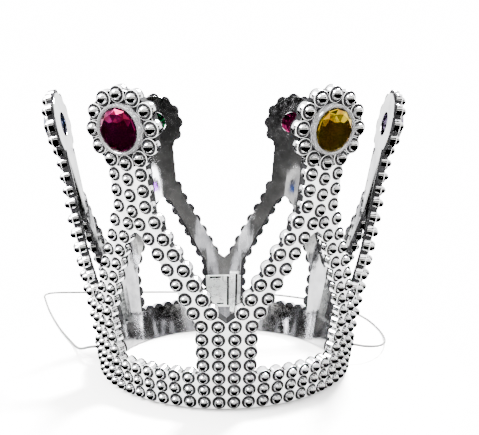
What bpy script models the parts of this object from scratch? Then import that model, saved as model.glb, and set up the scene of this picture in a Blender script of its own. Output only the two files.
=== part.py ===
"""A toy crown: a bead-textured strip bent into a flared ring with six points, each carrying a round gem, an
elastic chin cord, and a tongue-and-keeper clasp at the back. Metres, +Z up. The crown's axis is Z, it stands
on Z = 0, its front faces -Y and its clasp is at +Y. Azimuths are degrees from the front, positive towards +X.
"""

from math import atan, atan2, cos, degrees, hypot, pi, radians, sin

import bmesh
import bpy
from mathutils import Matrix, Vector

MM = 0.001

# ---- driving dimensions, in millimetres and degrees ----
BASE_RADIUS = 50.0  # to the tops of the beads, at the standing edge
FLARE = 0.212  # how far the wall leans out for each unit of height
TILT = atan(FLARE)
DEPTH = 5.4  # from the inner face to the tops of the beads
BEAD_RISE = 2.0  # how far the beads stand out of the plate
GAP = 0.3  # between pieces that touch
POINTS = 6
COLUMNS = 10  # of beads along one section's band
COLUMN = 360 / POINTS / COLUMNS  # degrees between two columns

# heights of the rows of beads, bottom to top
BAND_ROWS = (2.5, 7.0, 11.4)
STEM_ROWS = (16.1, 20.8, 25.6, 30.4)
LEG_ROWS = (35.1, 39.9, 44.9, 50.0, 55.2, 60.4)
SHOULDER_BEADS = ((2.2, 65.2), (7.5, 66.1))  # (degrees from the point's centre line, height)
NECK_ROWS = (71.2, 76.6, 82.0)
BAND_TOP = 14.0
STEM_TOP = 32.7
CROTCH = 62.6  # where the two legs of one point meet
SHOULDER_TOP = 67.9

LEG_START = 6.0  # degrees from the stem's centre line to the leg's, at the stem's top row
LEG_END = 22.7  # and at the leg's top row
LEG_BEADS = (3.05, 2.55)  # degrees from the leg's centre line to its beads, at its bottom and its top
NECK_PITCH = 5.6
NECK_DROP = 1.7  # how much lower the neck's middle column sits
NECK_HALF = 8.2
EDGE_SHARE = 1.75  # half a leg's width, as a share of the beads' distance from its centre line
STEM_EDGE = 29.7  # degrees from the point's centre line to where its own half of the stem ends
STEM_INNER = 18.4  # and to where that half begins
SHOULDER_EDGE = 10.1
HEAD_Z = 97.0  # the gem's centre, on the cone of the bead tops
RING_RADIUS = 11.6  # of the ring of beads round a gem
RING_BEADS = 12
HEAD_RADIUS = 14.0
HEAD_SIDES = 20
HEAD_PROUD = 0.15  # how much thicker the head's disc is than the plate, on each face
BEZEL_RADIUS = 8.4
BEZEL_RISE = 0.4
SEAT_RADIUS = 7.6
SEAT_DEPTH = 2.8  # below the bead tops
SIGHT_RADIUS = 4.9  # the hole behind the gem
GEM_RADIUS = 7.2
GEM_RISE = 2.2

STUD_SIDES = 5
STUD_RADIUS = 2.45
STUD_SINK = 0.25

CLASP_Z = (10.8, 25.2)  # the tongue's lower and upper edge
CLASP_THICK = 1.2
TONGUE_AZ = (-9.5, 10.2)  # round the ring from the back centre line, positive on the -X side
KEEPER_AZ = (3.4, 8.4)  # the same, positive on the +X side
KEEPER_FOOT = 1.5

CORD_RADIUS = 0.5
CORD_HOLE = 0.85
CORD_Z = 7.0
KNOT_RADIUS = 1.7
CORD_POINTS = 79

SECTIONS = {
    "front_left": -30,
    "left": -90,
    "back_left": -150,
    "front_right": 30,
    "right": 90,
    "back_right": 150,
}
GEM_COLOURS = {
    "front_left": (0.55, 0.0, 0.12),
    "left": (0.02, 0.12, 0.5),
    "back_left": (0.0, 0.3, 0.1),
    "front_right": (0.75, 0.42, 0.0),
    "right": (0.25, 0.02, 0.4),
    "back_right": (0.6, 0.02, 0.25),
}
# the cord's route over the table, from the left hole round behind the crown to the right hole
CORD_ROUTE = (
    (-51.5, 0.2, 7.0),
    (-54.2, 1.6, 6.5),
    (-57.0, 4.8, 5.2),
    (-59.8, 9.5, 3.2),
    (-62.6, 15.0, 1.5),
    (-66.2, 22.5, 0.6),
    (-71.0, 32.5, 0.55),
    (-77.0, 45.5, 0.55),
    (-84.0, 62.5, 0.55),
    (-90.8, 81.0, 0.55),
    (-96.5, 98.5, 0.55),
    (-99.4, 108.5, 0.55),
    (-98.4, 113.6, 0.55),
    (-93.5, 115.6, 0.55),
    (-80.0, 115.8, 0.55),
    (-55.0, 115.5, 0.55),
    (-25.0, 115.0, 0.55),
    (5.0, 113.0, 0.55),
    (30.0, 106.5, 0.55),
    (50.0, 94.0, 0.55),
    (63.0, 77.5, 0.55),
    (69.8, 61.0, 0.55),
    (72.3, 47.0, 0.55),
    (72.8, 36.0, 0.7),
    (72.0, 26.5, 1.3),
    (70.0, 17.0, 2.4),
    (66.6, 8.8, 3.7),
    (62.0, 2.8, 5.1),
    (57.2, -0.2, 6.3),
    (52.8, -0.1, 7.0),
)


def radius_at(z, out=0.0):
    """The wall's radius at a height, `out` mm outside the cone of the bead tops."""
    return BASE_RADIUS + FLARE * z + out / cos(TILT)


def on_wall(azimuth, z, out=0.0):
    """A point at an azimuth and height, `out` mm outside the bead tops."""
    turn = radians(azimuth)
    r = radius_at(z, out)
    return Vector((r * sin(turn), -r * cos(turn), z)) * MM


def head_frame(azimuth):
    """The matrix of a point's head: X along the tangent, Y up the wall, Z outwards, at the gem's centre."""
    turn = radians(azimuth)
    across = Vector((cos(turn), sin(turn), 0))
    out = Vector((sin(turn) * cos(TILT), -cos(turn) * cos(TILT), -sin(TILT)))
    up = out.cross(across)
    frame = Matrix((across, up, out)).transposed().to_4x4()
    frame.translation = on_wall(azimuth, HEAD_Z)
    return frame


def clear_scene():
    for thing in list(bpy.data.objects):
        bpy.data.objects.remove(thing, do_unlink=True)


def material(name, colour, roughness, metallic=0.0):
    made = bpy.data.materials.new(name)
    made.use_nodes = True
    shader = made.node_tree.nodes["Principled BSDF"]
    shader.inputs["Base Color"].default_value = (*colour, 1)
    shader.inputs["Roughness"].default_value = roughness
    shader.inputs["Metallic"].default_value = metallic
    return made


def put(name, bm, finish, guide=False):
    """Turn a bmesh into a named object; a guide only cuts or joins another object."""
    mesh = bpy.data.meshes.new(name)
    bm.to_mesh(mesh)
    bm.free()
    mesh.materials.append(finish)
    thing = bpy.data.objects.new(name, mesh)
    bpy.context.scene.collection.objects.link(thing)
    if guide:
        thing.hide_render = True
        thing.display_type = "WIRE"
    return thing


def combine(target, tool, operation):
    """Run an exact Boolean on the target now, and drop the tool."""
    change = target.modifiers.new(operation.lower(), "BOOLEAN")
    change.operation = operation
    change.solver = "EXACT"
    change.object = tool
    bpy.context.view_layer.update()
    result = bpy.data.meshes.new_from_object(target.evaluated_get(bpy.context.evaluated_depsgraph_get()))
    target.modifiers.remove(change)
    target.data = result
    bpy.data.objects.remove(tool, do_unlink=True)


def turned(bm, profile, sides, frame, phase=0.0):
    """A solid of revolution about the frame's Z, from (radius, height) pairs in mm; radius 0 closes an end."""
    rings = []
    for r, h in profile:
        if r == 0:
            rings.append([bm.verts.new(frame @ Vector((0, 0, h * MM)))])
            continue
        angles = [2 * pi * (k + phase) / sides for k in range(sides)]
        rings.append([bm.verts.new(frame @ Vector((r * cos(a) * MM, r * sin(a) * MM, h * MM))) for a in angles])
    for low, high in zip(rings, rings[1:]):
        for k in range(sides):
            a, b = low[k % len(low)], low[(k + 1) % len(low)]
            c, d = high[(k + 1) % len(high)], high[k % len(high)]
            corners = [v for i, v in enumerate((a, b, c, d)) if v not in (a, b, c, d)[:i]]
            bm.faces.new(corners)
    if len(rings[0]) > 1:
        bm.faces.new(rings[0][::-1])
    if len(rings[-1]) > 1:
        bm.faces.new(rings[-1])


def shell(bm, azimuths, heights, depths):
    """A piece of wall between two azimuths, two heights and two depths, as a grid that follows the ring."""
    low_z, high_z = heights
    inner, outer = depths
    corners = []
    for azimuth in azimuths:
        ring = [on_wall(azimuth, z, out) for z, out in
                ((low_z, inner), (low_z, outer), (high_z, outer), (high_z, inner))]
        corners.append([bm.verts.new(p) for p in ring])
    for near, far in zip(corners, corners[1:]):
        for k in range(4):
            bm.faces.new((near[k], near[(k + 1) % 4], far[(k + 1) % 4], far[k]))
    bm.faces.new(corners[0][::-1])
    bm.faces.new(corners[-1])
    bmesh.ops.recalc_face_normals(bm, faces=bm.faces)


def steps(start, end, count):
    return [start + (end - start) * k / count for k in range(count + 1)]


def leg_line(z):
    """Degrees from the stem's centre line to the leg's at a height."""
    along = (z - STEM_ROWS[-1]) / (LEG_ROWS[-1] - STEM_ROWS[-1])
    return LEG_START + (LEG_END - LEG_START) * along


def leg_half(z):
    """Degrees from the leg's centre line to each of its two beads at a height."""
    along = (z - LEG_ROWS[0]) / (LEG_ROWS[-1] - LEG_ROWS[0])
    return LEG_BEADS[0] + (LEG_BEADS[1] - LEG_BEADS[0]) * along


def bead_places():
    """(azimuth from the section's centre, height) of each bead on the wall, head and neck left out."""
    half = 180 / POINTS
    places = []
    for z in BAND_ROWS:
        places += [(COLUMN * (k + 0.5) - half, z) for k in range(COLUMNS)]
    for side in (-1, 1):
        for z in STEM_ROWS:
            places += [(side * (half - COLUMN * (k + 0.5)), z) for k in range(2)]
        for z in LEG_ROWS:
            line = half - leg_line(z)
            places += [(side * (line - leg_half(z)), z), (side * (line + leg_half(z)), z)]
        places += [(side * turn, z) for turn, z in SHOULDER_BEADS]
    return places


def edge_azimuth(z, outer):
    """Degrees from the section's centre to the leg's outer or inner edge at a height."""
    line = 180 / POINTS - leg_line(z)
    width = EDGE_SHARE * leg_half(z)
    return line + width if outer else line - width


def prism(name, outline, azimuth, finish):
    """A cutter: an outline of (across, height) points pushed straight through the wall of one section."""
    turn = Matrix.Rotation(radians(azimuth), 4, "Z")
    near, far = -90.0, -20.0
    bm = bmesh.new()
    front = [bm.verts.new(turn @ Vector((u, near, z)) * MM) for u, z in outline]
    back = [bm.verts.new(turn @ Vector((u, far, z)) * MM) for u, z in outline]
    bm.faces.new(front)
    bm.faces.new(back[::-1])
    for k in range(len(outline)):
        j = (k + 1) % len(outline)
        bm.faces.new((front[j], front[k], back[k], back[j]))
    bmesh.ops.recalc_face_normals(bm, faces=bm.faces)
    return put(name, bm, finish, guide=True)


def across(azimuth, z):
    return radius_at(z, -DEPTH / 2) * sin(radians(azimuth))


def outline_of_point():
    """Half of a section's outline, from the band's corner up to the head, as (across, height) in mm."""
    rise = [(across(edge_azimuth(z, True), z), z) for z in steps(STEM_TOP + 3.0, CROTCH, 3)]
    shoulder = (across(SHOULDER_EDGE, SHOULDER_TOP - 1), SHOULDER_TOP - 1.0)
    neck = ((NECK_HALF, SHOULDER_TOP + 1.2), (NECK_HALF, HEAD_Z * cos(TILT) ** 2 - 8.0))
    clear = BASE_RADIUS - 5.0
    return [(clear, -5.0), (clear, STEM_TOP), (across(STEM_EDGE, STEM_TOP), STEM_TOP), *rise, shoulder, *neck]


def outline_of_window():
    """Half of the opening between a point's two legs."""
    stem = across(STEM_INNER, STEM_TOP - 3)
    rise = [(across(edge_azimuth(z, False), z), z) for z in steps(STEM_TOP + 3.0, CROTCH - 4.0, 2)]
    return [(stem, BAND_TOP), (stem, STEM_TOP - 1.5), *rise, (0.6, CROTCH - 0.8)]


def mirrored(half):
    return half + [(-u, z) for u, z in reversed(half)]


def plate(name, azimuth, finish):
    """One section of the strip, without its beads and head."""
    half = 180 / POINTS - degrees(GAP / 2 / BASE_RADIUS)
    bm = bmesh.new()
    turns = [azimuth + a for a in steps(-half, half, COLUMNS)]
    shell(bm, turns, (0.0, HEAD_Z - 9.0), (-DEPTH, -BEAD_RISE))
    section = put(name, bm, finish)
    combine(section, prism("outline", mirrored(outline_of_point()), azimuth, finish), "INTERSECT")
    combine(section, prism("window", mirrored(outline_of_window()), azimuth, finish), "DIFFERENCE")
    return section


def head(azimuth, finish):
    """The disc at the top of a point, with the gem's seat, its bezel and the sight hole behind it."""
    frame = head_frame(azimuth)
    bm = bmesh.new()
    back, front = -DEPTH - HEAD_PROUD, HEAD_PROUD - BEAD_RISE
    turned(bm, ((HEAD_RADIUS, back), (HEAD_RADIUS, front), (BEZEL_RADIUS, front),
                (BEZEL_RADIUS, BEZEL_RISE), (SEAT_RADIUS, BEZEL_RISE), (SEAT_RADIUS, -SEAT_DEPTH),
                (SIGHT_RADIUS, -SEAT_DEPTH), (SIGHT_RADIUS, back)), HEAD_SIDES, frame)
    # the profile goes round a ring, so its two end caps give way to the wall of the sight hole
    caps = [f for f in bm.faces if len(f.verts) > 4]
    bmesh.ops.delete(bm, geom=caps, context="FACES_ONLY")
    edges = [e for e in bm.edges if e.is_boundary]
    bmesh.ops.bridge_loops(bm, edges=edges)
    bmesh.ops.recalc_face_normals(bm, faces=bm.faces)
    return put("head", bm, finish, guide=True)


def stud_frame(azimuth, z):
    turn = radians(azimuth)
    out = Vector((sin(turn), -cos(turn), 0))
    frame = out.to_track_quat("Z", "Y").to_matrix().to_4x4()
    frame.translation = on_wall(azimuth, z, -BEAD_RISE)
    return frame


def studs(azimuth, finish):
    """Every bead of one section, as low studs."""
    bm = bmesh.new()
    rise = ((STUD_RADIUS, -STUD_SINK), (0, BEAD_RISE))
    for turn, z in bead_places():
        turned(bm, rise, STUD_SIDES, stud_frame(azimuth + turn, z), 0.5)
    for row, z in enumerate(NECK_ROWS):
        for column in (-1, 0, 1):
            drop = NECK_DROP if column == 0 else 0.0
            turn = degrees(atan2(column * NECK_PITCH, radius_at(z)))
            turned(bm, rise, STUD_SIDES, stud_frame(azimuth + turn, z - drop), 0.5)
    frame = head_frame(azimuth)
    for k in range(RING_BEADS):
        angle = 2 * pi * k / RING_BEADS
        place = Matrix.Translation(Vector((RING_RADIUS * sin(angle), RING_RADIUS * cos(angle), -BEAD_RISE)) * MM)
        turned(bm, rise, STUD_SIDES, frame @ place, 0.5)
    return put("studs", bm, finish, guide=True)


def cord_hole(side, finish):
    """A drill through the side of the band, where the elastic passes."""
    frame = Matrix.Rotation(side * pi / 2, 4, "Y")
    frame.translation = Vector((side * (BASE_RADIUS - 8), 0, CORD_Z)) * MM
    bm = bmesh.new()
    turned(bm, ((CORD_HOLE, 0), (CORD_HOLE, 16)), 10, frame)
    return put("drill", bm, finish, guide=True)


def section(place, finish):
    """A strip section: the plate, its head, its beads and, at the sides, the cord's hole."""
    azimuth = SECTIONS[place]
    made = plate("strip_" + place, azimuth, finish)
    combine(made, head(azimuth, finish), "UNION")
    combine(made, studs(azimuth, finish), "UNION")
    if place in ("left", "right"):
        combine(made, cord_hole(1 if azimuth > 0 else -1, finish), "DIFFERENCE")
    return made


def gem(place):
    """A round faceted stone in its seat, pointed at the front and flat at the back."""
    finish = material("gem_" + place, GEM_COLOURS[place], 0.05)
    bm = bmesh.new()
    floor = GAP - SEAT_DEPTH
    turned(bm, ((GEM_RADIUS - 1.2, floor), (GEM_RADIUS, -0.6), (GEM_RADIUS, 0.2), (4.6, 1.5), (0, GEM_RISE)),
           12, head_frame(SECTIONS[place]))
    bmesh.ops.recalc_face_normals(bm, faces=bm.faces)
    return put("gem_" + place, bm, finish)


def tongue(finish):
    """The tongue on the back-left end: it reaches over the joint and under the keeper."""
    bm = bmesh.new()
    inner = -DEPTH - GAP - CLASP_THICK
    shell(bm, [180 + a for a in steps(*TONGUE_AZ, 8)], CLASP_Z, (inner, -DEPTH - GAP))
    return put("clasp_tongue", bm, finish)


def keeper(finish):
    """The belt loop on the back-right end: two feet and a bar that stands over the tongue."""
    low, high = CLASP_Z
    roof = -DEPTH - 2 * GAP - CLASP_THICK
    azimuths = [180 - a for a in steps(*KEEPER_AZ, 2)]
    bm = bmesh.new()
    feet = GAP + KEEPER_FOOT
    shell(bm, azimuths, (low - feet, high + feet), (roof - CLASP_THICK, -DEPTH - GAP))
    made = put("clasp_keeper", bm, finish)
    slot = bmesh.new()
    wide = [180 - a for a in steps(KEEPER_AZ[0] - 2, KEEPER_AZ[1] + 2, 2)]
    shell(slot, wide, (low - GAP, high + GAP), (roof, 0.0))
    combine(made, put("slot", slot, finish, guide=True), "DIFFERENCE")
    return made


def smooth_route(route, count):
    """Evenly spaced points on a Catmull-Rom curve through the route."""
    points = [Vector(p) for p in route]
    ends = [2 * points[0] - points[1], *points, 2 * points[-1] - points[-2]]
    fine = []
    parts = 24
    for a, b, c, d in zip(ends, ends[1:], ends[2:], ends[3:]):
        for k in range(parts):
            t = k / parts
            fine.append(0.5 * (2 * b + (c - a) * t + (2 * a - 5 * b + 4 * c - d) * t**2
                               + (3 * b - a - 3 * c + d) * t**3))
    fine.append(points[-1])
    along = [0.0]
    for a, b in zip(fine, fine[1:]):
        along.append(along[-1] + (b - a).length)
    even = []
    k = 0
    for target in steps(0, along[-1], count - 1):
        while k < len(along) - 2 and along[k + 1] < target:
            k += 1
        share = (target - along[k]) / (along[k + 1] - along[k])
        even.append(fine[k].lerp(fine[k + 1], min(share, 1.0)))
    return even


def cord(finish):
    """The elastic, from the inner end of the left hole round the table to that of the right hole."""
    start = (-radius_at(CORD_Z, -DEPTH), 0, CORD_Z)
    end = (radius_at(CORD_Z, -DEPTH), 0, CORD_Z)
    points = smooth_route((start, *CORD_ROUTE, end), CORD_POINTS)
    curve = bpy.data.curves.new("elastic_cord", "CURVE")
    curve.dimensions = "3D"
    curve.bevel_depth = CORD_RADIUS * MM
    curve.bevel_resolution = 2
    curve.use_fill_caps = True
    line = curve.splines.new("POLY")
    line.points.add(len(points) - 1)
    for spot, place in zip(line.points, points):
        spot.co = (*(place * MM), 1)
    curve.materials.append(finish)
    made = bpy.data.objects.new("elastic_cord", curve)
    bpy.context.scene.collection.objects.link(made)
    return made


def knot(side, name, finish):
    """The knot that stops the elastic inside the band."""
    centre = radius_at(CORD_Z, -DEPTH - GAP) - KNOT_RADIUS
    bm = bmesh.new()
    spot = Matrix.Translation(Vector((side * centre, 0, CORD_Z)) * MM)
    bmesh.ops.create_icosphere(bm, subdivisions=2, radius=KNOT_RADIUS * MM, matrix=spot)
    return put(name, bm, finish)


def main():
    clear_scene()
    silver = material("silver", (0.86, 0.86, 0.88), 0.12, 1.0)
    clasp = material("clasp", (0.8, 0.8, 0.82), 0.2, 1.0)
    elastic = material("elastic", (0.82, 0.82, 0.8), 0.6)
    for place in SECTIONS:
        section(place, silver)
        gem(place)
    tongue(clasp)
    keeper(clasp)
    cord(elastic)
    knot(-1, "cord_knot_left", elastic)
    knot(1, "cord_knot_right", elastic)


main()
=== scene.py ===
"""The visual model of a toy crown: beaded points on a silver strip, round gems, a clasp and a chin elastic."""

from math import atan, atan2, cos, degrees, pi, radians, sin

import bmesh
import bpy
from mathutils import Matrix, Vector


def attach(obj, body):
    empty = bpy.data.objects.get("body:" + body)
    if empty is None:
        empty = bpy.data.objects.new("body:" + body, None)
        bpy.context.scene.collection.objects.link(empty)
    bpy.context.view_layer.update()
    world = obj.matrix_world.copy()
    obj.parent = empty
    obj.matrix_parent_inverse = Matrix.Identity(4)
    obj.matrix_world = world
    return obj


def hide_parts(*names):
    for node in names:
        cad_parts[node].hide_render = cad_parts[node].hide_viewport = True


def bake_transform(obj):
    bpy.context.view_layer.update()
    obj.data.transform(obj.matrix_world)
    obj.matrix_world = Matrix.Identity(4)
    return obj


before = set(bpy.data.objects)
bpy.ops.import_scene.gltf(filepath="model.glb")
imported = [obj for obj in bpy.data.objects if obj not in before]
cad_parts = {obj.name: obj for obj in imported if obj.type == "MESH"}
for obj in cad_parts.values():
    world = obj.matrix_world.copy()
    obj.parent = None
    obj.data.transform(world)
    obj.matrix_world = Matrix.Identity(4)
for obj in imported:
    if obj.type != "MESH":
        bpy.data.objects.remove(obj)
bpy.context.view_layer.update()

MM = 0.001

# ---- the CAD model's dimensions, in millimetres and degrees ----
BASE_RADIUS = 50.0  # to the tops of the beads, at the standing edge
FLARE = 0.212  # how far the wall leans out for each unit of height
TILT = atan(FLARE)
DEPTH = 5.4  # from the inner face to the tops of the beads
GAP = 0.3  # between pieces that touch
SECTIONS = {  # degrees round the ring from its front to each point's centre line
    "front_left": -30, "left": -90, "back_left": -150,
    "front_right": 30, "right": 90, "back_right": 150,
}
BODIES = {
    "front_left": "front_left", "left": "front_left", "back_left": "back_left",
    "front_right": "front_right", "right": "front_right", "back_right": "back_right",
}
HALF = 30.0  # degrees from a point's centre line to its section's edge
COLUMNS = 10  # of beads along one section's band
STEM_COLUMNS = 2  # of beads up each half of a stem
COLUMN = 6.0  # degrees between two columns
BAND_ROWS = (2.5, 7.0, 11.4)
STEM_ROWS = (16.1, 20.8, 25.6, 30.4)
LEG_ROWS = (35.1, 39.9, 44.9, 50.0, 55.2, 60.4)
SHOULDER_BEADS = ((2.2, 65.2), (7.5, 66.1))  # (degrees from the point's centre line, height)
NECK_ROWS = (71.2, 76.6, 82.0)
NECK_PITCH = 5.6
NECK_DROP = 1.7  # how much lower the neck's middle column sits
STEM_TOP = 32.7
CROTCH = 62.6  # where the two legs of one point meet
LEG_START, LEG_END = 6.0, 22.7  # degrees from the stem's centre line to the leg's, at its bottom and its top
LEG_BEADS = (3.05, 2.55)  # degrees from the leg's centre line to its beads, at its bottom and its top
HEAD_Z = 97.0  # the gem's centre, on the cone of the bead tops
RING_RADIUS = 11.6  # of the ring of beads round a gem
RING_BEADS = 12
GEM_RADIUS = 7.2
CLASP_Z = (10.8, 25.2)  # the tongue's lower and upper edge
CLASP_THICK = 1.2
TONGUE_AZ = (-9.5, 10.2)  # round the ring from the back centre line, positive on the -X side
KEEPER_AZ = (3.4, 8.4)  # the same, positive on the +X side
KEEPER_FOOT = 1.5
CORD_RADIUS = 0.5
CORD_HOLE = 0.85
CORD_Z = 7.0
KNOT_RADIUS = 1.7
CORD_ROUTE = (
    (-51.5, 0.2, 7.0), (-54.2, 1.6, 6.5), (-57.0, 4.8, 5.2), (-59.8, 9.5, 3.2), (-62.6, 15.0, 1.5),
    (-66.2, 22.5, 0.6), (-71.0, 32.5, 0.55), (-77.0, 45.5, 0.55), (-84.0, 62.5, 0.55), (-90.8, 81.0, 0.55),
    (-96.5, 98.5, 0.55), (-99.4, 108.5, 0.55), (-98.4, 113.6, 0.55), (-93.5, 115.6, 0.55),
    (-80.0, 115.8, 0.55), (-55.0, 115.5, 0.55), (-25.0, 115.0, 0.55), (5.0, 113.0, 0.55),
    (30.0, 106.5, 0.55), (50.0, 94.0, 0.55), (63.0, 77.5, 0.55), (69.8, 61.0, 0.55), (72.3, 47.0, 0.55),
    (72.8, 36.0, 0.7), (72.0, 26.5, 1.3), (70.0, 17.0, 2.4), (66.6, 8.8, 3.7), (62.0, 2.8, 5.1),
    (57.2, -0.2, 6.3), (52.8, -0.1, 7.0),
)

# (low, high, start, end) of the painted shadow lines on the tongue's pad and down the keeper's bar, near-black
# strips in place of the shade in sunken lines, in mm and degrees
PAD_SHADOW_LINES = (
    (23.9, 24.6, 1.8, 8.2), (12.0, 12.6, 0.2, 4.4),
    (11.4, 24.8, -2.9, -1.6), (22.6, 24.8, 0.4, 0.8),
)
KEEPER_SHADOW_LINE = (11.0, 26.2, 6.6, 7.9)

# ---- the fine shape of a bead: a dome in a shallow moat, on a collar with a broken edge ----
PLATE_TOP = -2.16
COLLAR_TOP = -2.0
COLLAR_BACK = -5.32
BEAD_SIDES = 20
DOME_STEPS = 6
BAND_COLLAR, LEG_COLLAR, RING_COLLAR = 2.45, 2.62, 2.88
DOME, RING_DOME = 1.62, 1.92
FOOT = 0.05
BAND_MOAT, LEG_MOAT, RING_MOAT = 2.42, 2.46, 2.72
BESIDE_HOLE = (1.72, 1.7, 1.35)  # collar, moat and dome of the small beads beside the cord's hole
BACK_BEVEL = 0.18
TOP_BEVEL = 0.16
MOAT_DROP = 0.08

# ---- the plate under the beads: its edge lies inside the collars ----
PLATE_LOW = 0.5
PLATE_BAND_TOP = 13.2
PLATE_NECK_HALF = 7.4
PLATE_NECK_TOP = 88.5
EDGE_SHARE = 1.42  # half a leg's width, as a share of the beads' distance from its centre line

# ---- the web across a living hinge ----
WEB_HALF = 1.4
WEB_INSET = 0.9
WEB_BACK = -4.6

# ---- the strip's material slots, and those of a bead's and a head's bands from the back ----
ON_MIRROR, ON_SATIN, ON_PAINTED_SHADE_BLACK, ON_INNER_PAINTED_SHADE, ON_BEZEL = range(5)
# the near-black painted shade goes on a bead's collar back and lower side, its moat and the dome's foot, and on
# a head's edge and sunken ring; the darker painted-shade silver goes on a head's back, seat and sight hole
BEAD_SLOTS = (*[ON_PAINTED_SHADE_BLACK] * 3, ON_MIRROR, *[ON_SATIN] * 2, *[ON_PAINTED_SHADE_BLACK] * 3, ON_SATIN, ON_MIRROR)
HEAD_SLOTS = (ON_INNER_PAINTED_SHADE, ON_PAINTED_SHADE_BLACK, *[ON_MIRROR] * 2, *[ON_PAINTED_SHADE_BLACK] * 4, *[ON_BEZEL] * 7, *[ON_INNER_PAINTED_SHADE] * 4)
HEAD_SIDES = 72
HEAD_PROFILE = (  # (radius, depth) pairs
    (12.9, -5.36), (13.1, -5.2), (13.1, -2.35), (12.95, -2.15), (11.5, -2.15), (9.5, -2.2), (9.3, -2.6),
    (8.75, -2.6), (8.62, -2.3), (8.55, -0.4), (8.42, -0.1), (8.2, 0.03), (7.95, 0.03), (7.65, -0.12),
    (7.36, -0.45), (7.3, -2.8), (4.9, -2.8), (4.9, -5.2), (5.05, -5.36),
)
GEM_SIDES = 12
GEM_TIP = 2.2
SHARP = radians(34)


# ============ camera ============
def make_camera():
    data = bpy.data.cameras.new("camera")
    data.sensor_width = 36.0
    data.lens = 54.3
    data.shift_y = -0.18
    data.clip_start = 0.01
    data.clip_end = 20.0
    thing = bpy.data.objects.new("camera", data)
    bpy.context.scene.collection.objects.link(thing)
    thing.location = Vector((-2.9, -294.9, 102.85)) * MM
    thing.rotation_euler = (radians(88.5), 0.0, radians(-1.72))
    bpy.context.scene.camera = thing


make_camera()


# ============ shared geometry ============
def radius_at(z, out=0.0):
    return BASE_RADIUS + FLARE * z + out / cos(TILT)


def on_wall(azimuth, z, out=0.0):
    turn = radians(azimuth)
    r = radius_at(z, out)
    return Vector((r * sin(turn), -r * cos(turn), z)) * MM


def wall_frame(azimuth, z):
    """X along the tangent, Y up the wall and Z outwards, at a point on the cone of the bead tops."""
    turn = radians(azimuth)
    along = Vector((cos(turn), sin(turn), 0))
    out = Vector((sin(turn) * cos(TILT), -cos(turn) * cos(TILT), -sin(TILT)))
    rows = Matrix((along, out.cross(along), out)).transposed().to_4x4()
    rows.translation = on_wall(azimuth, z)
    return rows


def steps(start, end, count):
    return [start + (end - start) * k / count for k in range(count + 1)]


def turn_of(bm, place, radius, height, sides, phase=0.0):
    """One turn of vertices round a frame's Z, with radius and height in mm."""
    made = []
    for k in range(sides):
        a = 2 * pi * (k + phase) / sides
        made.append(bm.verts.new(place @ Vector((radius * cos(a) * MM, radius * sin(a) * MM, height * MM))))
    return made


def lathe(bm, profile, sides, place, ring=False):
    """Turn (radius, height) pairs round Z; radius 0 closes an end, ring joins the last pair to the first."""
    rings = []
    for r, h in profile:
        if r == 0:
            rings.append([bm.verts.new(place @ Vector((0, 0, h * MM)))])
        else:
            rings.append(turn_of(bm, place, r, h, sides))
    pairs = list(zip(rings, rings[1:]))
    if ring:
        pairs.append((rings[-1], rings[0]))
    made = []
    for low, high in pairs:
        for k in range(sides):
            j = k + 1
            four = (low[k % len(low)], low[j % len(low)], high[j % len(high)], high[k % len(high)])
            corners = [v for i, v in enumerate(four) if v not in four[:i]]
            made.append(bm.faces.new(corners))
    for f in made:
        f.smooth = True
    return made


def shell(bm, azimuths, heights, depths):
    """A closed piece of wall between two azimuths, heights and depths."""
    low_z, high_z = heights
    inner, outer = depths
    corners = []
    for azimuth in azimuths:
        ring = ((low_z, inner), (low_z, outer), (high_z, outer), (high_z, inner))
        corners.append([bm.verts.new(on_wall(azimuth, z, out)) for z, out in ring])
    for near, far in zip(corners, corners[1:]):
        for k in range(4):
            bm.faces.new((near[k], near[(k + 1) % 4], far[(k + 1) % 4], far[k]))
    bm.faces.new(corners[0][::-1])
    bm.faces.new(corners[-1])
    bmesh.ops.recalc_face_normals(bm, faces=bm.faces)


def tube(bm, points, radius, sides):
    """A capped round tube along points in metres; radius is in mm, one number or one for each point."""
    count = len(points)
    sizes = radius if isinstance(radius, list) else [radius] * count
    tangent = (points[1] - points[0]).normalized()
    side = tangent.orthogonal().normalized()
    rings = []
    for k, p in enumerate(points):
        ahead = points[min(k + 1, count - 1)] - points[max(k - 1, 0)]
        tangent = ahead.normalized()
        side = (side - tangent * side.dot(tangent)).normalized()
        other = tangent.cross(side)
        turns = [2 * pi * i / sides for i in range(sides)]
        rings.append([bm.verts.new(p + (side * cos(a) + other * sin(a)) * sizes[k] * MM) for a in turns])
    for low, high in zip(rings, rings[1:]):
        for i in range(sides):
            j = (i + 1) % sides
            bm.faces.new((low[i], low[j], high[j], high[i])).smooth = True
    bm.faces.new(rings[0][::-1])
    bm.faces.new(rings[-1])


def mark_sharp(bm):
    for e in bm.edges:
        if len(e.link_faces) == 2 and e.calc_face_angle(0.0) > SHARP:
            e.smooth = False


def make_object(name, bm, finishes, sharp=True):
    if sharp:
        mark_sharp(bm)
    mesh = bpy.data.meshes.new(name)
    bm.to_mesh(mesh)
    bm.free()
    for finish in finishes:
        mesh.materials.append(finish)
    thing = bpy.data.objects.new(name, mesh)
    bpy.context.scene.collection.objects.link(thing)
    return thing


def cut(target, tool, operation):
    """Run an exact Boolean on the target now, and drop the tool."""
    change = target.modifiers.new("cut", "BOOLEAN")
    change.operation = operation
    change.solver = "EXACT"
    change.object = tool
    bpy.context.view_layer.update()
    result = bpy.data.meshes.new_from_object(target.evaluated_get(bpy.context.evaluated_depsgraph_get()))
    target.modifiers.remove(change)
    target.data = result
    bpy.data.objects.remove(tool, do_unlink=True)


# ============ materials ============
def node_material(name):
    made = bpy.data.materials.new(name)
    made.use_nodes = True
    tree = made.node_tree
    return made, tree, tree.nodes["Principled BSDF"]


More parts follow.
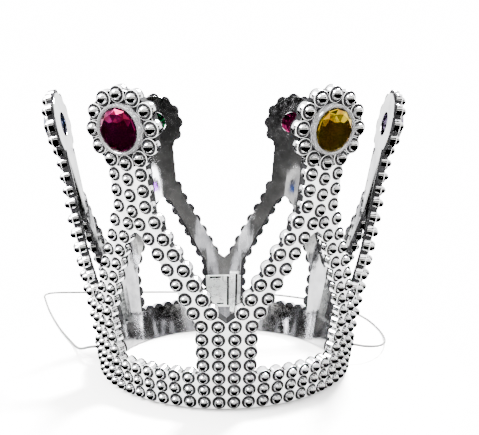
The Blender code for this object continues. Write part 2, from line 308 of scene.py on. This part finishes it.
def add_noise(tree, scale, detail=3.0):
    """A noise texture on the object's own coordinates; scale is in features per metre."""
    where = tree.nodes.new("ShaderNodeTexCoord")
    grain = tree.nodes.new("ShaderNodeTexNoise")
    grain.inputs["Scale"].default_value = scale
    grain.inputs["Detail"].default_value = detail
    grain.inputs["Roughness"].default_value = 0.55
    tree.links.new(where.outputs["Object"], grain.inputs["Vector"])
    return grain.outputs["Fac"]


def ramp_of(tree, source, stops):
    ramp = tree.nodes.new("ShaderNodeValToRGB")
    while len(ramp.color_ramp.elements) < len(stops):
        ramp.color_ramp.elements.new(0.5)
    for element, (spot, colour) in zip(ramp.color_ramp.elements, stops):
        element.position = spot
        element.color = (*colour, 1.0)
    tree.links.new(source, ramp.inputs["Fac"])
    return ramp.outputs["Color"]


def span_of(tree, source, low, high):
    span = tree.nodes.new("ShaderNodeMapRange")
    span.inputs["From Min"].default_value = 0.3
    span.inputs["From Max"].default_value = 0.7
    span.inputs["To Min"].default_value = low
    span.inputs["To Max"].default_value = high
    tree.links.new(source, span.inputs["Value"])
    return span.outputs["Result"]


def add_bump(tree, shader, source, strength, distance):
    bump = tree.nodes.new("ShaderNodeBump")
    bump.inputs["Strength"].default_value = strength
    bump.inputs["Distance"].default_value = distance
    tree.links.new(source, bump.inputs["Height"])
    tree.links.new(bump.outputs["Normal"], shader.inputs["Normal"])


def metallised(name, light, dark, smooth, dull, peel, metal=1.0):
    """Vacuum-metallised plastic: a thin film with faint cloudiness and the orange peel of the moulding."""
    made, tree, shader = node_material(name)
    shader.inputs["Metallic"].default_value = metal
    tint = add_noise(tree, 90.0)
    tree.links.new(ramp_of(tree, tint, ((0.3, dark), (0.62, light))), shader.inputs["Base Color"])
    tree.links.new(span_of(tree, add_noise(tree, 420.0), smooth, dull), shader.inputs["Roughness"])
    add_bump(tree, shader, add_noise(tree, 700.0, 2.0), peel, 0.00012)
    return made


def stone(name, light, deep):
    """A foil-backed acrylic stone: the foil's mirror shows through the coloured, polished plastic."""
    made, tree, shader = node_material(name)
    shader.inputs["Metallic"].default_value = 0.985
    shader.inputs["Coat Weight"].default_value = 0.1
    shader.inputs["Coat Roughness"].default_value = 0.03
    tint = add_noise(tree, 260.0, 2.0)
    tree.links.new(ramp_of(tree, tint, ((0.35, deep), (0.62, light))), shader.inputs["Base Color"])
    tree.links.new(span_of(tree, add_noise(tree, 500.0), 0.05, 0.13), shader.inputs["Roughness"])
    add_bump(tree, shader, add_noise(tree, 350.0, 2.0), 0.25, 0.00015)
    return made


def elastic_thread():
    """Covered elastic: a ribbed woven sleeve, near black so that it reads as grey on the very bright floor."""
    made, tree, shader = node_material("elastic")
    shader.inputs["Sheen Weight"].default_value = 0.05
    where = tree.nodes.new("ShaderNodeTexCoord")
    ribs = tree.nodes.new("ShaderNodeTexWave")
    ribs.wave_type = "BANDS"
    ribs.bands_direction = "DIAGONAL"
    ribs.inputs["Scale"].default_value = 900.0
    ribs.inputs["Distortion"].default_value = 1.5
    tree.links.new(where.outputs["Object"], ribs.inputs["Vector"])
    colours = ((0.15, (0.02, 0.02, 0.019)), (0.75, (0.06, 0.06, 0.058)))
    tree.links.new(ramp_of(tree, ribs.outputs["Fac"], colours), shader.inputs["Base Color"])
    tree.links.new(span_of(tree, add_noise(tree, 1500.0), 0.5, 0.75), shader.inputs["Roughness"])
    add_bump(tree, shader, ribs.outputs["Fac"], 0.6, 0.0001)
    return made


MIRROR = metallised("silver_mirror", (0.95, 0.95, 0.96), (0.86, 0.86, 0.88), 0.035, 0.1, 0.12)
SATIN = metallised("silver_satin", (0.96, 0.96, 0.96), (0.86, 0.86, 0.87), 0.16, 0.3, 0.15, 0.15)
# painted shade and painted reflection: the moats, the collar's back and lower side, the plate edges, the sunken
# ring round each gem and the clasp's lines are near black, in place of the shade in those hollows and the dark
# room that a real crown mirrors there
PAINTED_SHADE_BLACK = metallised("painted_shade_black", (0.007, 0.007, 0.0075), (0.002, 0.002, 0.0022), 0.75, 0.95, 0.2, 0.0)
PAINTED_SHADE_BLACK.node_tree.nodes["Principled BSDF"].inputs["Specular IOR Level"].default_value = 0.05
BEZEL = metallised("silver_bezel", (0.62, 0.62, 0.63), (0.34, 0.34, 0.35), 0.12, 0.26, 0.2, 0.8)
# painted shade: a darker copy of the silver, for the strip's inside faces and each head's back, seat and sight
# hole, which face away from the light
INNER_PAINTED_SHADE = metallised("silver_inner_painted_shade", (0.62, 0.62, 0.63), (0.3, 0.3, 0.31), 0.04, 0.11, 0.05)
CLASP = metallised("clasp_silver", (0.9, 0.92, 0.9), (0.74, 0.78, 0.76), 0.22, 0.36, 0.35)
ELASTIC = elastic_thread()
STONES = {
    "front_left": stone("stone_magenta", (0.19, 0.0, 0.085), (0.12, 0.0, 0.02)),
    "left": stone("stone_blue", (0.01, 0.06, 0.3), (0.0, 0.015, 0.1)),
    "back_left": stone("stone_green", (0.01, 0.2, 0.05), (0.0, 0.07, 0.02)),
    "front_right": stone("stone_amber", (0.42, 0.3, 0.0), (0.34, 0.15, 0.0)),
    "right": stone("stone_violet", (0.12, 0.01, 0.25), (0.04, 0.0, 0.09)),
    "back_right": stone("stone_rose", (0.3, 0.01, 0.1), (0.12, 0.0, 0.04)),
}


# ============ the strip ============
def leg_line(z):
    along = (z - STEM_ROWS[-1]) / (LEG_ROWS[-1] - STEM_ROWS[-1])
    return LEG_START + (LEG_END - LEG_START) * along


def leg_half(z):
    along = (z - LEG_ROWS[0]) / (LEG_ROWS[-1] - LEG_ROWS[0])
    return LEG_BEADS[0] + (LEG_BEADS[1] - LEG_BEADS[0]) * along


def bead_places():
    """(azimuth, height, collar radius, moat radius) of every bead of one section but those of its head."""
    places = []
    for z in BAND_ROWS:
        places += [(COLUMN * (k + 0.5) - HALF, z, BAND_COLLAR, BAND_MOAT) for k in range(COLUMNS)]
    for side in (-1, 1):
        for z in STEM_ROWS:
            edges = [HALF - COLUMN * (k + 0.5) for k in range(STEM_COLUMNS)]
            places += [(side * edge, z, BAND_COLLAR, BAND_MOAT) for edge in edges]
        for z in LEG_ROWS:
            line = HALF - leg_line(z)
            for half in (-leg_half(z), leg_half(z)):
                places.append((side * (line + half), z, LEG_COLLAR, LEG_MOAT))
        places += [(side * turn, z, LEG_COLLAR, LEG_MOAT) for turn, z in SHOULDER_BEADS]
    for z in NECK_ROWS:
        for column in (-1, 0, 1):
            drop = NECK_DROP if column == 0 else 0.0
            azimuth = degrees(atan2(column * NECK_PITCH, radius_at(z)))
            places.append((azimuth, z - drop, LEG_COLLAR, LEG_MOAT))
    return places


def bead(bm, place, collar, moat, dome):
    """One bead as a closed solid: its collar, the moat, the foot of the dome, and the dome; the collar's back
    and lower side, the moat and the foot carry the near-black painted shade.
    """
    foot = min(dome + FOOT, moat - 0.2)
    rim = [
        (0, COLLAR_BACK), (collar - BACK_BEVEL, COLLAR_BACK), (collar, COLLAR_BACK + BACK_BEVEL),
        (collar, COLLAR_BACK + 0.9), (collar, COLLAR_TOP - TOP_BEVEL),
        (max(collar - 0.1, moat + 0.02), COLLAR_TOP), (moat, COLLAR_TOP),
        (moat - 0.02, COLLAR_TOP - MOAT_DROP), (foot, COLLAR_TOP - MOAT_DROP),
        (foot - 0.04, COLLAR_TOP + 0.02), (dome + 0.02, COLLAR_TOP + 0.06),
    ]
    arc = [(dome * cos(t), COLLAR_TOP + 0.05 - (0.05 + COLLAR_TOP) * sin(t))
           for t in steps(radians(4), radians(90), DOME_STEPS)][:-1]
    faces = lathe(bm, rim + arc + [(0, 0.0)], BEAD_SIDES, place)
    for n, f in enumerate(faces[:len(BEAD_SLOTS) * BEAD_SIDES]):
        f.material_index = BEAD_SLOTS[n // BEAD_SIDES]


def edge_azimuth(z, outer):
    line = HALF - leg_line(z)
    width = EDGE_SHARE * leg_half(z)
    return line + width if outer else line - width


def prism(name, outline):
    """A cutter: (across, height) points pushed through the wall of the section that faces -Y."""
    low, high = -90.0, -20.0
    bm = bmesh.new()
    front = [bm.verts.new(Vector((u, low, z)) * MM) for u, z in outline]
    back = [bm.verts.new(Vector((u, high, z)) * MM) for u, z in outline]
    bm.faces.new(front)
    bm.faces.new(back[::-1])
    for k in range(len(outline)):
        j = (k + 1) % len(outline)
        bm.faces.new((front[j], front[k], back[k], back[j]))
    bmesh.ops.recalc_face_normals(bm, faces=bm.faces)
    return make_object(name, bm, [SATIN], sharp=False)


def across(azimuth, z):
    return radius_at(z, -DEPTH / 2) * sin(radians(azimuth))


def mirrored(half):
    return half + [(-u, z) for u, z in reversed(half)]


def plate_mesh():
    """The strip under the beads: its edge lies inside the collars, so that they scallop the outline."""
    bm = bmesh.new()
    shell(bm, steps(-HALF, HALF, 20), (PLATE_LOW, HEAD_Z - 9.0), (-DEPTH, PLATE_TOP))
    plate = make_object("plate", bm, [SATIN], sharp=False)
    rise = [(across(edge_azimuth(z, True), z), z) for z in steps(STEM_TOP + 2.5, CROTCH, 8)]
    outline = [(45.0, -5.0), (45.0, STEM_TOP - 0.6), (across(29.9, STEM_TOP), STEM_TOP - 0.6), *rise,
               (across(9.2, 67.0), 67.0), (PLATE_NECK_HALF, 69.5), (PLATE_NECK_HALF, PLATE_NECK_TOP)]
    cut(plate, prism("outline", mirrored(outline)), "INTERSECT")
    inner = [(across(edge_azimuth(z, False), z), z) for z in steps(STEM_TOP + 1.5, CROTCH - 2.5, 8)]
    window = [(across(19.4, 30.0), PLATE_BAND_TOP), (across(19.3, 31.0), STEM_TOP - 1.0), *inner, (0.5, CROTCH)]
    cut(plate, prism("window", mirrored(window)), "DIFFERENCE")
    return plate


def drill():
    bm = bmesh.new()
    place = Matrix.Rotation(pi / 2, 4, "X")
    place.translation = Vector((0, -40.0, CORD_Z)) * MM
    lathe(bm, ((0, 0), (CORD_HOLE, 0), (CORD_HOLE, 20), (0, 20)), 20, place)
    bmesh.ops.recalc_face_normals(bm, faces=bm.faces)
    return make_object("drill", bm, [SATIN], sharp=False)


def head(bm):
    """The disc that carries the gem: its bezel, the sunken ring round it, the seat and the sight hole; the
    disc's edge and the sunken ring carry the near-black painted shade, its back, seat and sight hole the darker
    painted-shade silver.
    """
    place = wall_frame(0, HEAD_Z)
    faces = lathe(bm, HEAD_PROFILE, HEAD_SIDES, place, ring=True)
    for n, f in enumerate(faces):
        f.material_index = HEAD_SLOTS[n // HEAD_SIDES]
    for k in range(RING_BEADS):
        angle = 2 * pi * k / RING_BEADS
        spot = Matrix.Translation(Vector((RING_RADIUS * sin(angle), RING_RADIUS * cos(angle), 0)) * MM)
        bead(bm, place @ spot, RING_COLLAR, RING_MOAT, RING_DOME)


def section_mesh(name, with_hole):
    """The mesh of one section, facing -Y."""
    plate = plate_mesh()
    if with_hole:
        cut(plate, drill(), "DIFFERENCE")
    bm = bmesh.new()
    bm.from_mesh(plate.data)
    bpy.data.objects.remove(plate, do_unlink=True)
    for f in bm.faces:
        f.smooth = True
        # the plate's face takes the satin silver, its inside face the darker painted-shade silver, and its
        # edges the near-black painted shade
        f.material_index = ON_SATIN if f.normal.y < -0.6 else ON_INNER_PAINTED_SHADE if f.normal.y > 0.6 else ON_PAINTED_SHADE_BLACK
    for azimuth, z, collar, moat in bead_places():
        beside_hole = with_hole and z == CORD_Z and abs(azimuth) < COLUMN
        sizes = BESIDE_HOLE if beside_hole else (collar, moat, DOME)
        bead(bm, wall_frame(azimuth, z), *sizes)
    head(bm)
    bmesh.ops.recalc_face_normals(bm, faces=bm.faces)
    mark_sharp(bm)
    mesh = bpy.data.meshes.new(name)
    bm.to_mesh(mesh)
    bm.free()
    for finish in (MIRROR, SATIN, PAINTED_SHADE_BLACK, INNER_PAINTED_SHADE, BEZEL):
        mesh.materials.append(finish)
    return mesh


def build_strip():
    plain = section_mesh("section", False)
    drilled = section_mesh("section_with_hole", True)
    for place, azimuth in SECTIONS.items():
        mesh = (drilled if place in ("left", "right") else plain).copy()
        mesh.transform(Matrix.Rotation(radians(azimuth), 4, "Z"))
        thing = bpy.data.objects.new("beaded_strip_" + place, mesh)
        bpy.context.scene.collection.objects.link(thing)
        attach(thing, BODIES[place])
        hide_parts("strip_" + place)


def build_webs():
    """The strip is one moulding, so a thin web inside it bridges the hairline at each living hinge."""
    for name, azimuth, first, second in (("front", 0, "front_left", "front_right"),
                                         ("left", -120, "back_left", "front_left"),
                                         ("right", 120, "front_right", "back_right")):
        bm = bmesh.new()
        wide = degrees(WEB_HALF / BASE_RADIUS)
        heights = (WEB_INSET, STEM_TOP - WEB_INSET)
        shell(bm, [azimuth + a for a in steps(-wide, wide, 6)], heights, (WEB_BACK, PLATE_TOP - 0.12))
        for f in bm.faces:
            f.smooth = True
        thing = make_object("hinge_web_" + name, bm, [SATIN])
        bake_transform(thing)


# ============ the gems ============
def build_gem(place):
    """A round stone cut like a rose: two tiers of facets that climb to a point."""
    bm = bmesh.new()
    where = wall_frame(SECTIONS[place], HEAD_Z)
    tiers = ((GEM_RADIUS - 1.0, -2.4, 0.0), (GEM_RADIUS, -0.6, 0.0), (GEM_RADIUS, -0.1, 0.0),
             (GEM_RADIUS - 0.25, 0.2, 0.0), (5.6, 1.15, 0.5), (3.2, 1.9, 0.0))
    sides = GEM_SIDES
    rings = [turn_of(bm, where, r, h, sides, phase) for r, h, phase in tiers]
    tip = bm.verts.new(where @ Vector((0, 0, GEM_TIP * MM)))
    bm.faces.new(rings[0][::-1])
    for n, (low, high) in enumerate(zip(rings, rings[1:])):
        for k in range(sides):
            j = (k + 1) % sides
            if n < 3:
                bm.faces.new((low[k], low[j], high[j], high[k]))
            elif n == 3:
                bm.faces.new((low[k], low[j], high[k]))
                bm.faces.new((low[j], high[j], high[k]))
            else:
                bm.faces.new((low[k], high[j], high[k]))
                bm.faces.new((low[k], low[j], high[j]))
    for k in range(sides):
        bm.faces.new((rings[-1][k], rings[-1][(k + 1) % sides], tip))
    bmesh.ops.recalc_face_normals(bm, faces=bm.faces)
    bmesh.ops.bevel(bm, geom=list(bm.edges), offset=0.09 * MM, segments=2, profile=0.5, affect="EDGES")
    thing = make_object("faceted_gem_" + place, bm, [STONES[place]], sharp=False)
    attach(thing, BODIES[place])
    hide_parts("gem_" + place)


# ============ the clasp ============
def rounded_shell(name, azimuths, heights, depths, finish, width):
    bm = bmesh.new()
    shell(bm, azimuths, heights, depths)
    sharp = [e for e in bm.edges if e.calc_face_angle(0.0) > radians(40)]
    bmesh.ops.bevel(bm, geom=sharp, offset=width * MM, segments=3, profile=0.5, affect="EDGES")
    for f in bm.faces:
        f.smooth = True
    return make_object(name, bm, [finish])


def add_painted_shadow_strips(thing, azimuths, shadow_strips, depth):
    """Painted shadow: near-black strips that stand slightly proud of a clasp piece's inner face, in place of
    the shade that sunken lines would hold there.
    """
    bm = bmesh.new()
    bm.from_mesh(thing.data)
    for low, high, start, end in shadow_strips:
        strip = bmesh.new()
        shell(strip, [azimuths(a) for a in steps(start, end, 6)], (low, high), (depth - 0.05, depth + 0.3))
        for f in strip.faces:
            f.material_index = 1
        part = bpy.data.meshes.new("painted_shadow_strip")
        strip.to_mesh(part)
        strip.free()
        bm.from_mesh(part)
    bm.to_mesh(thing.data)
    bm.free()
    # the strips take the near-black painted shadow
    thing.data.materials.append(PAINTED_SHADE_BLACK)


def build_clasp():
    low, high = CLASP_Z
    inner, outer = -DEPTH - GAP - CLASP_THICK, -DEPTH - GAP
    blade = [180 + a for a in steps(*TONGUE_AZ, 16)]
    tongue = rounded_shell("tongue_blade", blade, (low, high), (inner, outer), CLASP, 0.3)
    add_painted_shadow_strips(tongue, lambda a: 180 + a, PAD_SHADOW_LINES, inner)
    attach(tongue, "back_left")
    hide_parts("clasp_tongue")
    roof = -DEPTH - 2 * GAP - CLASP_THICK
    feet = GAP + KEEPER_FOOT
    loop = [180 - a for a in steps(*KEEPER_AZ, 4)]
    heights = (low - feet, high + feet)
    keeper = rounded_shell("keeper_loop", loop, heights, (roof - CLASP_THICK, outer), CLASP, 0.35)
    bm = bmesh.new()
    opening = [180 - a for a in steps(KEEPER_AZ[0] - 2, KEEPER_AZ[1] + 2, 2)]
    shell(bm, opening, (low - GAP, high + GAP), (roof, 0.0))
    cut(keeper, make_object("slot", bm, [CLASP], sharp=False), "DIFFERENCE")
    add_painted_shadow_strips(keeper, lambda a: 180 - a, (KEEPER_SHADOW_LINE,), roof - CLASP_THICK)
    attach(keeper, "back_right")
    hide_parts("clasp_keeper")


# ============ the elastic ============
def smooth_route(route, parts):
    """Points on a Catmull-Rom curve through the route, in mm."""
    points = [Vector(p) for p in route]
    ends = [2 * points[0] - points[1], *points, 2 * points[-1] - points[-2]]
    fine = []
    for a, b, c, d in zip(ends, ends[1:], ends[2:], ends[3:]):
        for k in range(parts):
            t = k / parts
            fine.append(0.5 * (2 * b + (c - a) * t + (2 * a - 5 * b + 4 * c - d) * t**2
                               + (3 * b - a - 3 * c + d) * t**3))
    fine.append(points[-1])
    return fine


def build_cord():
    start = (-radius_at(CORD_Z, -DEPTH), 0, CORD_Z)
    end = (radius_at(CORD_Z, -DEPTH), 0, CORD_Z)
    line = [p * MM for p in smooth_route((start, *CORD_ROUTE, end), 14)]
    bm = bmesh.new()
    tube(bm, line, CORD_RADIUS, 14)
    cord = make_object("elastic_thread", bm, [ELASTIC])
    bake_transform(cord)
    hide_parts("elastic_cord")
    knots = [build_knot(-1, "left"), build_knot(1, "right")]


def build_knot(side, name):
    """An overhand knot: a pulled-up trefoil, with the cord's short tail standing out of it."""
    centre = Vector((side * (radius_at(CORD_Z, -DEPTH - GAP) - KNOT_RADIUS), 0, CORD_Z))
    size = (KNOT_RADIUS - 0.5) / 3.0
    loop = []
    for k in range(97):
        t = 2 * pi * k / 96
        p = Vector((-sin(3 * t) * 0.9, sin(t) + 2 * sin(2 * t), cos(t) - 2 * cos(2 * t))) * size
        loop.append((centre + p) * MM)
    bm = bmesh.new()
    tube(bm, loop, 0.5, 12)
    near = (centre + Vector((side * 0.2, 0, 0))) * MM
    away = (centre + Vector((side * (KNOT_RADIUS + GAP + 0.4), 0, 0))) * MM
    tube(bm, [near.lerp(away, k / 4) for k in range(5)], 0.47, 12)
    tail = [(centre + Vector((-side * (0.2 + 0.28 * k), 0.12 * k, -0.16 * k))) * MM for k in range(6)]
    tube(bm, tail, [0.47, 0.47, 0.47, 0.46, 0.45, 0.4], 12)
    thing = make_object("tied_knot_" + name, bm, [ELASTIC])
    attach(thing, "front_left" if side < 0 else "front_right")
    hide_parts("cord_knot_" + name)
    return thing


build_cord()
build_strip()
build_webs()
for section in SECTIONS:
    build_gem(section)
build_clasp()


# ============ studio ============
def build_floor():
    """A pale floor; reflections pick up only the part inside the closed ring, as if the rest were dark."""
    finish, tree, shader = node_material("pale_floor")
    shader.inputs["Base Color"].default_value = (0.93, 0.92, 0.91, 1)
    shader.inputs["Roughness"].default_value = 0.9
    shader.inputs["Specular IOR Level"].default_value = 0.1
    for name, reach, sides, height in (("floor_wide", 8.0, 4, 0.0), ("floor_inside", 0.0485, 64, 0.00003)):
        bm = bmesh.new()
        turns = [2 * pi * (k + 0.5) / sides for k in range(sides)]
        bm.faces.new([bm.verts.new((reach * cos(a), reach * sin(a), height)) for a in turns])
        thing = make_object(name, bm, [finish], sharp=False)
        thing.visible_glossy = name == "floor_inside"


def build_glow():
    """The floor's over-exposed distance, for the camera only: clear round the object, white further out."""
    made = bpy.data.materials.new("floor_glow")
    made.use_nodes = True
    tree = made.node_tree
    tree.nodes.remove(tree.nodes["Principled BSDF"])
    where = tree.nodes.new("ShaderNodeTexCoord")
    away = tree.nodes.new("ShaderNodeVectorMath")
    away.operation = "LENGTH"
    tree.links.new(where.outputs["Object"], away.inputs[0])
    fade = tree.nodes.new("ShaderNodeMapRange")
    fade.interpolation_type = "SMOOTHSTEP"
    fade.inputs["From Min"].default_value = 0.068
    fade.inputs["From Max"].default_value = 0.105
    tree.links.new(away.outputs["Value"], fade.inputs["Value"])
    glow = tree.nodes.new("ShaderNodeEmission")
    glow.inputs["Strength"].default_value = 16.0
    clear = tree.nodes.new("ShaderNodeBsdfTransparent")
    mix = tree.nodes.new("ShaderNodeMixShader")
    tree.links.new(fade.outputs["Result"], mix.inputs["Fac"])
    tree.links.new(clear.outputs["BSDF"], mix.inputs[1])
    tree.links.new(glow.outputs["Emission"], mix.inputs[2])
    tree.links.new(mix.outputs["Shader"], tree.nodes["Material Output"].inputs["Surface"])
    bm = bmesh.new()
    bm.faces.new([bm.verts.new(corner) for corner in ((-6, -6, 0), (6, -6, 0), (6, 6, 0), (-6, 6, 0))])
    thing = make_object("floor_glow", bm, [made], sharp=False)
    thing.location = (-0.005, 0.0, 0.00004)
    thing.visible_diffuse = False
    thing.visible_glossy = False
    thing.visible_transmission = False
    thing.visible_shadow = False


def build_room():
    """The dim room in front, which only reflections pick up: pale bands between dark ones."""
    reach, spread, top = 1.5, 96, 2.5
    made, tree, shader = node_material("dim_room")
    shader.inputs["Base Color"].default_value = (0, 0, 0, 1)
    shader.inputs["Roughness"].default_value = 1.0
    shader.inputs["Specular IOR Level"].default_value = 0.0
    where = tree.nodes.new("ShaderNodeTexCoord")
    split = tree.nodes.new("ShaderNodeSeparateXYZ")
    tree.links.new(where.outputs["Object"], split.inputs["Vector"])
    stops = [(spot, (glow, glow * 0.99, glow * 0.95)) for spot, glow in
             ((0.0, 0.0), (0.08, 0.0), (0.086, 1.0), (0.1, 0.95), (0.11, 0.14), (0.22, 0.05), (0.27, 0.01),
              (0.30, 0.0), (0.34, 0.0), (0.36, 1.0), (0.56, 1.0), (0.58, 0.0), (0.86, 0.0), (1.0, 0.2))]
    rise = tree.nodes.new("ShaderNodeMapRange")
    rise.inputs["From Max"].default_value = top
    tree.links.new(split.outputs["Z"], rise.inputs["Value"])
    tree.links.new(ramp_of(tree, rise.outputs["Result"], stops), shader.inputs["Emission Color"])
    shader.inputs["Emission Strength"].default_value = 3.0
    bm = bmesh.new()
    turns = [radians(a) for a in steps(-spread, spread, 72)]
    rows = [[bm.verts.new((reach * sin(a), -reach * cos(a), z)) for a in turns] for z in (0.0, top)]
    for k in range(len(turns) - 1):
        bm.faces.new((rows[0][k], rows[0][k + 1], rows[1][k + 1], rows[1][k]))
    thing = make_object("dim_room", bm, [made], sharp=False)
    thing.visible_camera = False
    thing.visible_diffuse = False
    thing.visible_shadow = False


def build_light():
    world = bpy.data.worlds.new("studio")
    bpy.context.scene.world = world
    world.use_nodes = True
    tree = world.node_tree
    back = tree.nodes["Background"]
    where = tree.nodes.new("ShaderNodeTexCoord")
    split = tree.nodes.new("ShaderNodeSeparateXYZ")
    tree.links.new(where.outputs["Generated"], split.inputs["Vector"])
    half = tree.nodes.new("ShaderNodeMapRange")
    half.inputs["From Min"].default_value = -1.0
    half.inputs["From Max"].default_value = 1.0
    tree.links.new(split.outputs["Z"], half.inputs["Value"])
    stops = ((0.0, (0.0, 0.0, 0.0)), (0.49, (0.0, 0.0, 0.0)), (0.5, (0.9, 0.9, 0.9)), (0.62, (1.0, 1.0, 1.0)),
             (0.76, (0.55, 0.55, 0.56)), (0.88, (1.0, 1.0, 1.0)), (1.0, (1.0, 1.0, 1.0)))
    tree.links.new(ramp_of(tree, half.outputs["Result"], stops), back.inputs["Color"])
    back.inputs["Strength"].default_value = 5.5
    ray = tree.nodes.new("ShaderNodeLightPath")
    shown = back.outputs["Background"]
    for kind, strength in (("Is Glossy Ray", 4.5), ("Is Camera Ray", 16.0)):
        other = tree.nodes.new("ShaderNodeBackground")
        other.inputs["Strength"].default_value = strength
        other.inputs["Color"].default_value = (1, 1, 1, 1)
        if kind == "Is Glossy Ray":
            tree.links.new(back.inputs["Color"].links[0].from_socket, other.inputs["Color"])
        pick = tree.nodes.new("ShaderNodeMixShader")
        tree.links.new(ray.outputs[kind], pick.inputs["Fac"])
        tree.links.new(shown, pick.inputs[1])
        tree.links.new(other.outputs["Background"], pick.inputs[2])
        shown = pick.outputs["Shader"]
    tree.links.new(shown, tree.nodes["World Output"].inputs["Surface"])
    lamps = (("key", (0.3, 0.45, 0.8), 0.3, 220.0), ("fill", (-0.6, -0.2, 0.8), 0.6, 60.0))
    for name, spot, size, power in lamps:
        data = bpy.data.lights.new(name, "AREA")
        data.size = size
        data.energy = power
        lamp = bpy.data.objects.new(name, data)
        bpy.context.scene.collection.objects.link(lamp)
        lamp.location = spot
        lamp.rotation_euler = (-Vector(spot)).to_track_quat("-Z", "Y").to_euler()


build_room()
build_floor()
build_glow()
build_light()
